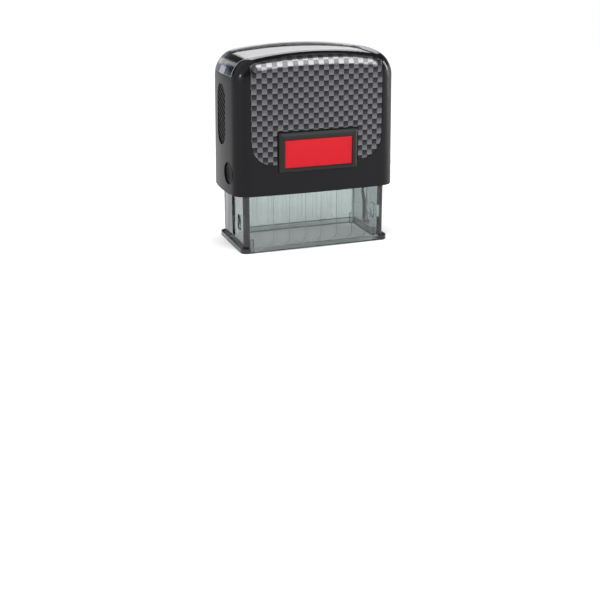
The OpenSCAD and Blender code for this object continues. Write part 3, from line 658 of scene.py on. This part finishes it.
dark_tone, light_tone = (
    add(tree, "Mix", {"Factor": up_cell, "A": linear(foot), "B": linear(top)}, data_type="RGBA")
    for foot, top in (("#343437", "#050506"), ("#67676b", "#4e4e52"))
)
add(tree, "Mix", {
    "Factor": light_cell, "A": dark_tone.outputs["Result"], "B": light_tone.outputs["Result"]
}, shader.inputs["Base Color"], data_type="RGBA")
for socket, dark, light in (("Metallic", 0.0, 0.85), ("Roughness", 0.5, 0.24)):
    add(tree, "MapRange", {"Value": light_cell, "To Min": dark, "To Max": light}, shader.inputs[socket])
knee_z, lacquer_from, lacquer_to = crown_z - cap_r, 0.6, 1.7
squared = add(tree, "Math", {0: across, 1: across}, operation="MULTIPLY").outputs[0]
up_arch = add(tree, "Math", {
    0: squared, 1: 0.5 / core_arch_r, 2: up
}, operation="MULTIPLY_ADD").outputs[0]
add(tree, "MapRange", {
    "Value": up_arch, "From Min": knee_z + lacquer_from, "From Max": knee_z + lacquer_to,
    "To Min": 0.12, "To Max": 1.0
}, shader.inputs["Coat Weight"])
panel_points, panel_uv = panel_sheet(0, 0, True)
for node, name, way_round in (
    ("front_panel", "front_check_panel", [1, 1, 1]), ("rear_panel", "rear_check_panel", about_face)
):
    sheets = [p * way_round for p in panel_points]
    panel = thickened(skinned(name, sheets, closed=False, uvs=panel_uv), -panel_t)
    broken_edges(panel, 0.15, angle=50)
    fitted(panel, check_film, "cap", node)


# Label frames and plates: a bevelled black frame pushed into each face, with a bare red plate set in it.
# Both are moulded ABS with a soft shine; the plate's edges are rounded and its face is plain.
streak_mm = 5
frame_black = bare_black("satin_abs", ("#1f2120", "#272927"), 0.34, 0.5, 0.015)
label_red, tree, shader = finish("red_abs", Roughness=0.35, Specular_IOR_Level=0.2)
place = add(tree, "TexCoord").outputs["Object"]
streak = add(tree, "TexNoise", {"Vector": place, "Scale": 1000 / streak_mm, "Detail": 3.0}).outputs[0]
add(tree, "Mix", {"Factor": streak, "A": linear("#be0f1d"), "B": linear("#c61523")},
    shader.inputs["Base Color"], data_type="RGBA")

opening_x, plate_low, plate_high = 13.05, 31.1, 41.4
opening_h, drop = (plate_high - plate_low) / 2, (plate_high + plate_low) / 2 - label_z
floor_y, lip_y, plate_y, plate_rise, plate_round, plate_play = 15.7, 17.0, 16.4, 0.3, 0.35, 0.03
frame_rings = [(label_half - label_h, 0, 0, label_seat)]
frame_rings += [(label_half - inset, label_h - inset, radius, out) for inset, radius, out in (
    (0.0, 0.3, label_seat), (0.0, 0.3, 16.3), (0.05, 0.3, 16.42), (0.75, 0.25, 16.95), (0.85, 0.25, lip_y)
)]
frame_rings += [(opening_x + wider, opening_h + wider, radius, out, drop) for wider, radius, out in (
    (0.12, 0.25, lip_y), (0.0, 0.2, 16.88), (0.0, 0.2, floor_y)
)]
frame_rings.append((opening_x - opening_h, 0, 0, floor_y, drop))
plate_rings = [(opening_x - opening_h, 0, 0, floor_y, drop)]
plate_edge = [(plate_play, floor_y), (plate_play, plate_y)]
for a in np.radians([22, 45, 68, 90]):
    plate_edge.append((plate_play + plate_round * (1 - np.cos(a)), plate_y + plate_rise * np.sin(a)))
plate_rings += [(opening_x - inset, opening_h - inset, 0.3, out, drop) for inset, out in plate_edge]
plate_rings.append((opening_x - opening_h, 0, 0, plate_y + plate_rise, drop))
for end, way_round in (("front", [1, 1, 1]), ("rear", about_face)):
    for rings, kind, material, slot in (
        (frame_rings, "frame", frame_black, "frame_black"), (plate_rings, "plate", label_red, "label_red")
    ):
        flat = loft(rings)
        grid = np.stack([flat[..., 0], -flat[..., 2], label_z + flat[..., 1]], -1) * way_round
        fitted(skinned(f"{end}_{kind}", [grid]), material, "cap", f"{end}_label_{kind}", angle=25)


# Index card and window: a white paper strip on the crown, under a clear snap-on strip that bends down over
# both shoulders. The window is moulded acrylic, polished on both sides, with a narrower tab at each end
# that carries a painted reflection, a pale bluish patch.
# The card is matt white paper; its fibres are drawn 0.8 mm apart so that they show.
fibre_mm, scuff_mm, card_t, window_play = 0.8, 4, 0.28, 0.03
card_paper, tree, shader = finish("white_card", Roughness=0.8)
place = add(tree, "TexCoord").outputs["Object"]
fibre = add(tree, "TexNoise", {"Vector": place, "Scale": 1000 / fibre_mm, "Detail": 5.0}).outputs[0]
add(tree, "Mix", {"Factor": fibre, "A": linear("#e9e8ea"), "B": linear("#f6f5f6")},
    shader.inputs["Base Color"], data_type="RGBA")
add(tree, "Bump", {"Height": fibre, "Strength": 0.2, "Distance": 0.00005}, shader.inputs["Normal"])
strip = crown_sheet(card_half, card_end, card_in)
card = thickened(skinned("index_card_strip", [strip], closed=False), -card_t)
fitted(card, card_paper, "cap", "index_card")

# Clear acrylic: it vanishes over the card, darkens over the black shoulders, and closes up where it is seen
# edge-on. Its cut rim carries a painted highlight, a pale line, and each tab a painted reflection, a pale
# bluish patch. The UV map gives each point's distance in millimetres from the side edge and from the end
# edge. A fade is a source, its two limits, and the values at them.
clear_acrylic, tree, shader = finish("clear_acrylic")
from_edge = add(tree, "SeparateXYZ", {"Vector": add(tree, "UVMap", uv_map="UVMap").outputs[0]})
from_side, from_end = from_edge.outputs["X"], from_edge.outputs["Y"]
nearest = add(tree, "Math", {0: from_side, 1: from_end}, operation="MINIMUM").outputs[0]
edge_on = add(tree, "LayerWeight", {"Blend": 0.5}).outputs["Facing"]
limits = ("Value", "From Min", "From Max", "To Min", "To Max")
veil = {name: add(tree, "MapRange", dict(zip(limits, fade))).outputs[0] for name, fade in {
    # The rim and tab fades place the painted highlight along the rim and the painted reflection on each tab.
    "at_rim": (nearest, 0.24, 0.36, 1.0, 0.0),
    "rim_highlight_fade": (from_end, 7.5, 10.5, 0.75, 0.1),
    "rim_cover": (from_end, 7.5, 10.5, 0.75, 0.45),
    "reflection_across": (from_side, 6.3, 6.9, 0.0, 1.0),
    "reflection_up": (from_end, 2.9, 3.5, 1.0, 0.0),
    "sheet_cover": (from_end, 8.5, 9.2, 0.5, 0.07),
    "past_end": (from_end, 8.5, 9.2, 1.0, 0.0),
    "past_side": (from_side, 0.6, 0.9, 1.0, 0.0),
    "slanting": (edge_on, 0.78, 0.92, 0.0, 0.9)
}.items()}
for name, operation, first, second in (
    ("painted_rim_highlight", "MULTIPLY", "rim_highlight_fade", "at_rim"),
    ("painted_end_reflection", "MULTIPLY", "reflection_across", "reflection_up"),
    ("bright", "MAXIMUM", "painted_end_reflection", "painted_rim_highlight"),
    ("rim", "MULTIPLY", "rim_cover", "at_rim"),
    ("tab", "MULTIPLY", "painted_end_reflection", 0.8),
    ("off_card", "MAXIMUM", "past_end", "past_side"),
    ("closed_up", "MULTIPLY", "slanting", "off_card"),
    ("cover", "MAXIMUM", "sheet_cover", "rim"),
    ("cover", "MAXIMUM", "cover", "tab"),
    ("cover", "MAXIMUM", "cover", "closed_up")
):
    pair = {0: veil[first], 1: veil.get(second, second)}
    veil[name] = add(tree, "Math", pair, operation=operation).outputs[0]
# Painted light: the pale colour is a painted highlight along the rim and a painted reflection on each tab.
add(tree, "Mix", {"Factor": veil["bright"], "A": linear("#14171c"), "B": linear("#9aa2b4")},
    shader.inputs["Base Color"], data_type="RGBA")
tree.links.new(veil["cover"], shader.inputs["Alpha"])
place = add(tree, "TexCoord").outputs["Object"]
scuff = add(tree, "TexNoise", {"Vector": place, "Scale": 1000 / scuff_mm, "Detail": 2.0}).outputs[0]
add(tree, "MapRange", {"Value": scuff, "To Min": 0.12, "To Max": 0.18}, shader.inputs["Roughness"])

sheet = crown_sheet(window_half, window_end, 0, tab_half)
middle_line = sheet[:, sheet.shape[1] // 2]
run = np.concatenate([[0], np.cumsum(np.linalg.norm(np.diff(middle_line, axis=0), axis=1))])
side_mm = sheet[:, -1:, 1] - np.abs(sheet[..., 1])
end_mm = np.minimum(run, run[-1] - run)[:, None]
inward = np.stack(np.broadcast_arrays(side_mm, end_mm), -1)
window = thickened(skinned("clear_window_strip", [sheet], closed=False, uvs=[inward]), window_play - window_t)
broken_edges(window, 0.2, angle=50)
fitted(window, clear_acrylic, "window", "index_window")


# Side grips: soft black rubber pads let into each end of the cap, with slanting ribs like a rope's strands.
# Moulded in one piece and glued into a round-ended slot; the rubber is matt and deep black.
rib_pitch, rib_slant, rib_r, rib_foot, rib_top, grip_play = 1.8, np.radians(60), 0.65, 0.2, 0.68, 0.02
grip_rubber = bare_black("grip_rubber", ("#090909", "#0e0e0e"), 0.5, 0.4, 0.02, gloss=0.1)
up = np.linspace(-1, 1, 141)[:, None] * (grip_h / 2 - grip_play)
past_straight = np.maximum(np.abs(up) - (grip_h - grip_w) / 2, 0)
width = np.sqrt(np.maximum((grip_w / 2 - grip_play) ** 2 - past_straight ** 2, 0))
over = width * np.linspace(-1, 1, 61)[None, :]
slant = (over * np.cos(rib_slant) + up * np.sin(rib_slant)) / rib_pitch
off_rib = (slant - np.round(slant)) * rib_pitch
rib = rib_foot + np.sqrt(np.maximum(rib_r ** 2 - off_rib ** 2, 0.0))
for node, name, side in (("side_grip_left", "left_grip", -1), ("side_grip_right", "right_grip", 1)):
    fore_x, rear_x = side * (grip_x + np.minimum(rib, rib_top)), side * (grip_x + grip_play)
    fore = np.stack(np.broadcast_arrays(fore_x, side * over, grip_z + up), -1)
    rear = np.stack(np.broadcast_arrays(rear_x, side * over[:, [0, -1]], grip_z + up), -1)
    grid = np.concatenate([rear[:, :1], fore, rear[:, ::-1]], 1)
    fitted(skinned(name, [grid]), grip_rubber, "cap", node, angle=60)


# Lock buttons: a round black button low on each end, pushed in to hold the cap down.
# Moulded ABS, matt, with a shallow dish for a fingertip and a peg that goes into the base.
# The profile gives radius and distance from the stamp's middle, from the peg's tip to the dish.
button_black = bare_black("button_abs", ("#0e0e0f", "#131314"), 0.5, 0.4, 0.02, gloss=0.08)
button_profile = [
    (0.0, 27.85), (1.35, 27.85), (1.5, 28.0), (1.5, 28.8), (4.2, 28.8), (4.3, 28.9), (4.3, 29.4),
    (lock_r, 29.4), (lock_r, 30.93), (lock_r - 0.07, 31.1), (lock_r - 0.25, 31.18), (3.1, 31.18),
    (2.8, 31.12), (2.2, 30.95), (1.2, 30.84), (0.0, 30.81)
]
spun = loft([(r, r, r, h) for r, h in button_profile], 16)
for node, name, side in (
    ("lock_button_left", "left_lock_button", -1), ("lock_button_right", "right_lock_button", 1)
):
    body = node.replace("button_", "")
    grid = np.stack([side * spun[..., 2], lock_y + spun[..., 0], lock_z + spun[..., 1]], -1)
    fitted(skinned(name, [grid]), button_black, body, node, angle=30)


# Table and studio: a plain white table in a room that is white round the horizon and dim above it.
# Soft boxes light the stamp; a narrow one at the back, rolled over, draws a grey band on the shoulder.
def soft_box(name, place, aim, size, power, roll=0.0):
    """A rectangular lamp that faces a point, turned about its beam by a roll. Metres and watts."""
    lamp = bpy.data.lights.new(name, "AREA")
    lamp.shape = "RECTANGLE"
    lamp.size, lamp.size_y = size
    lamp.energy = power
    to = np.array(aim) - np.array(place)
    back = -to / np.linalg.norm(to)
    level = np.cross([0, 0, 1], back)
    level = level / np.linalg.norm(level)
    steep = np.cross(back, level)
    over = level * np.cos(roll) + steep * np.sin(roll)
    rise = steep * np.cos(roll) - level * np.sin(roll)
    stood(put(name, lamp), over, rise, back, place)


soft_box("front_box", (0.235, -0.582, 0.442), (0, 0, 0.05), (0.5, 0.54), 4.4)
soft_box("top_box", (-0.5, -0.05, 0.65), (0, 0, 0.05), (1.2, 1.2), 5.0)
soft_box("back_box", (-0.33, 1.10, 0.44), (0, 0, 0.07), (0.14, 0.8), 0.85, roll=-np.pi / 4)
soft_box("left_box", (-0.7, -0.32, 0.3), (0, 0, 0.06), (0.1, 0.1), 1.6)
soft_box("right_box", (0.74, -0.12, 0.16), (0, 0, 0.04), (0.15, 0.5), 5.0)

# Matt white laminate. The eye, reflections and the clear base see it lit up to white; the glow falls off
# in an oval round the foot, so that the stamp's soft shadow stays.
white_stage, tree, shader = finish("white_stage", Roughness=0.9, Specular_IOR_Level=0.0)
shader.inputs["Base Color"].default_value = linear("#cdcdcd")
shader.inputs["Emission Color"].default_value = (1, 1, 1, 1)
ray = add(tree, "LightPath").outputs
seen = ray["Is Camera Ray"]
for kind in ("Is Glossy Ray", "Is Transmission Ray"):
    seen = add(tree, "Math", {0: seen, 1: ray[kind]}, operation="MAXIMUM").outputs[0]
place = add(tree, "TexCoord").outputs["Object"]
oval = add(tree, "VectorMath", {0: place, 1: (1.0, 2.0, 1.0)}, operation="MULTIPLY").outputs[0]
away = add(tree, "VectorMath", {0: oval}, operation="LENGTH").outputs["Value"]
glow = add(tree, "MapRange", {
    "Value": away, "From Min": 0.026, "From Max": 0.045, "To Min": 0.26, "To Max": 0.75
}).outputs[0]
add(tree, "Math", {0: seen, 1: glow}, shader.inputs["Emission Strength"], operation="MULTIPLY")
table_x, table_y, table_z = np.linspace(-700, 700, 3), np.linspace(-900, 450, 3), -0.05
table_grid = np.stack(np.broadcast_arrays(table_x[:, None], table_y[None, :], table_z), -1)
table = skinned("table", [table_grid], closed=False)
table.data.materials.append(white_stage)

world = bpy.data.worlds.new("white_room")
world.use_nodes = True
tree = world.node_tree
sky = tree.nodes["Background"]
sky.inputs["Color"].default_value = (1, 1, 1, 1)
heading = add(tree, "TexCoord").outputs["Generated"]
height = add(tree, "SeparateXYZ", {"Vector": heading}).outputs["Z"]
add(tree, "MapRange", {
    "Value": height, "From Min": 0.12, "From Max": 0.2, "To Min": 1.0, "To Max": 0.1
}, sky.inputs["Strength"])
bpy.context.scene.world = world
